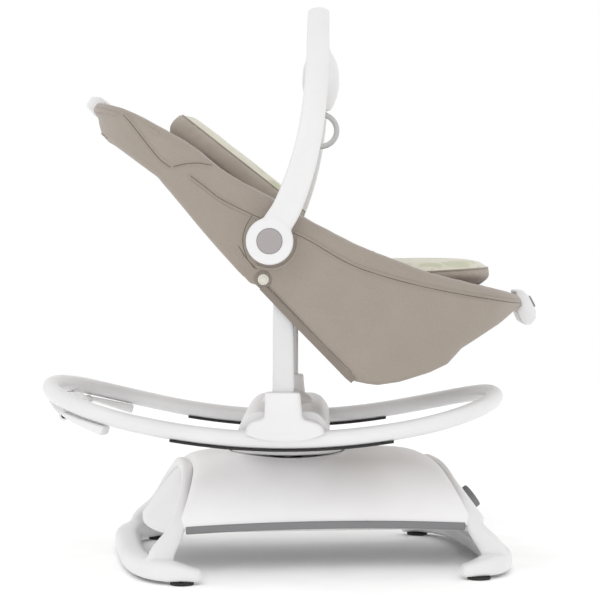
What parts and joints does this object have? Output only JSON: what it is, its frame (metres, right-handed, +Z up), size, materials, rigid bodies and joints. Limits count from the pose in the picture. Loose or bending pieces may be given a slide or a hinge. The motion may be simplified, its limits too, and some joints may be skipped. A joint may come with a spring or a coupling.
{
  "type": "bouncer seat",
  "caption": "Baby swing and rocker: fabric bucket seat with newborn insert and toy bar on two posts, on a curved rocker hoop docked on a motor-driven floor base.",
  "frame": {"origin": "on the floor, at the swing axis", "axes": "+X towards the foot end of the seat, +Y to the side away from the pictured side, +Z up"},
  "size_m": [0.709, 0.5633, 0.797],
  "materials": {
    "white_plastic": "satin moulded ABS",
    "post_paint": "satin white powder coat",
    "grey_plastic": "satin",
    "light_grey_plastic": "satin",
    "black_plastic": "matt",
    "rubber": "matt",
    "steel": "machined",
    "aluminium_tube": "drawn",
    "board": "solder mask",
    "shell_fabric": "woven polyester",
    "liner_fabric": "woven polyester",
    "pad_fabric": "printed cotton",
    "webbing": "woven webbing",
    "snap_plastic": "satin"
  },
  "bodies": {
    "base": {"base_cover": "white_plastic", "near_trim": "grey_plastic", "far_trim": "grey_plastic", "rear_leg_arch": "white_plastic", "rear_leg_loop": "white_plastic", "front_leg_arch": "white_plastic", "front_leg_loop": "white_plastic", "rear_end_panel": "white_plastic", "front_end_panel": "white_plastic", "base_tray": "grey_plastic", "foot_pads": "rubber", "tray_screws": "steel", "swing_bearing": "steel", "drive_motor": "steel", "gearbox": "grey_plastic", "circuit_board": "board", "dial_encoder": "black_plastic", "power_socket": "black_plastic"},
    "dial": {"speed_dial": "grey_plastic"},
    "pinion": {"motor_pinion": "steel"},
    "carriage": {"turntable": "white_plastic", "swing_shaft": "steel", "drive_gear": "grey_plastic"},
    "rocker": {"near_rail": "white_plastic", "far_rail": "white_plastic", "rear_bow": "white_plastic", "front_bow": "white_plastic", "near_rubber_strip": "rubber", "far_rubber_strip": "rubber", "cross_bridge": "white_plastic", "bridge_cap": "white_plastic", "dock_collar": "grey_plastic", "near_boot": "white_plastic", "far_boot": "white_plastic", "near_post": "post_paint", "far_post": "post_paint", "seat_pivot_pins": "steel", "stabiliser_brackets": "white_plastic", "stabiliser_pins": "steel"},
    "near_leg": {"near_stabiliser": "white_plastic"},
    "far_leg": {"far_stabiliser": "white_plastic"},
    "seat": {"seat_ring": "aluminium_tube", "hub_plates": "white_plastic", "seat_cover": "shell_fabric", "seat_liner": "liner_fabric", "back_pad": "pad_fabric", "leg_pad": "pad_fabric", "harness_straps": "webbing", "harness_buckle": "grey_plastic", "skirt_snaps": "snap_plastic", "head_grip": "white_plastic", "foot_grip": "white_plastic"},
    "release": {"release_button": "grey_plastic"},
    "toy_bar": {"toy_arch": "white_plastic", "near_hub": "white_plastic", "far_hub": "white_plastic", "toy_pod": "white_plastic"},
    "near_push": {"near_button": "grey_plastic"},
    "far_push": {"far_button": "grey_plastic"},
    "teether": {"toy_ring": "light_grey_plastic"}
  },
  "joints": [
    {"name": "swing", "type": "hinge", "parent": "base", "child": "carriage", "pos_m": [0, 0, 0.14], "axis": [0, 0, 1], "range_deg": [-2, 22]},
    {"name": "pinion_spin", "type": "hinge", "parent": "base", "child": "pinion", "pos_m": [0.05942, 0.00835, 0.12], "axis": [0, 0, 1], "range_deg": [-90, 10]},
    {"name": "dial_turn", "type": "hinge", "parent": "base", "child": "dial", "pos_m": [0.26497, 0.03724, 0.083], "axis": [0.8011, 0.1126, 0.5878], "range_deg": [0, 270]},
    {"name": "rocker_lift", "type": "slide", "parent": "carriage", "child": "rocker", "axis": [0, 0, 1], "range_m": [0, 0.05]},
    {"name": "near_leg_flip", "type": "hinge", "parent": "rocker", "child": "near_leg", "pos_m": [-0.306, -0.13, 0.2195], "axis": [0, 1, 0], "range_deg": [0, 32]},
    {"name": "far_leg_flip", "type": "hinge", "parent": "rocker", "child": "far_leg", "pos_m": [-0.306, 0.13, 0.2195], "axis": [0, 1, 0], "range_deg": [0, 32]},
    {"name": "seat_tilt", "type": "hinge", "parent": "rocker", "child": "seat", "pos_m": [-0.019, 0, 0.461], "axis": [0, 1, 0], "range_deg": [-8, 8]},
    {"name": "release_press", "type": "slide", "parent": "seat", "child": "release", "axis": [-0.8829, 0, -0.4695], "range_m": [0, 0.002], "stiffness_N_per_m": 500, "springref_m": -0.001},
    {"name": "bar_turn", "type": "hinge", "parent": "seat", "child": "toy_bar", "pos_m": [-0.019, 0, 0.461], "axis": [0, 1, 0], "range_deg": [-30, 45]},
    {"name": "near_button_press", "type": "slide", "parent": "toy_bar", "child": "near_push", "axis": [0, 1, 0], "range_m": [0, 0.003], "stiffness_N_per_m": 500, "springref_m": -0.001},
    {"name": "far_button_press", "type": "slide", "parent": "toy_bar", "child": "far_push", "axis": [0, -1, 0], "range_m": [0, 0.003], "stiffness_N_per_m": 500, "springref_m": -0.001},
    {"name": "ring_swing", "type": "hinge", "parent": "toy_bar", "child": "teether", "pos_m": [0.049, 0, 0.644], "axis": [1, 0, 0], "range_deg": [-70, 70]}
  ],
  "couplings": [
    {"joint": "pinion_spin", "follows": "swing", "ratio": -4}
  ]
}
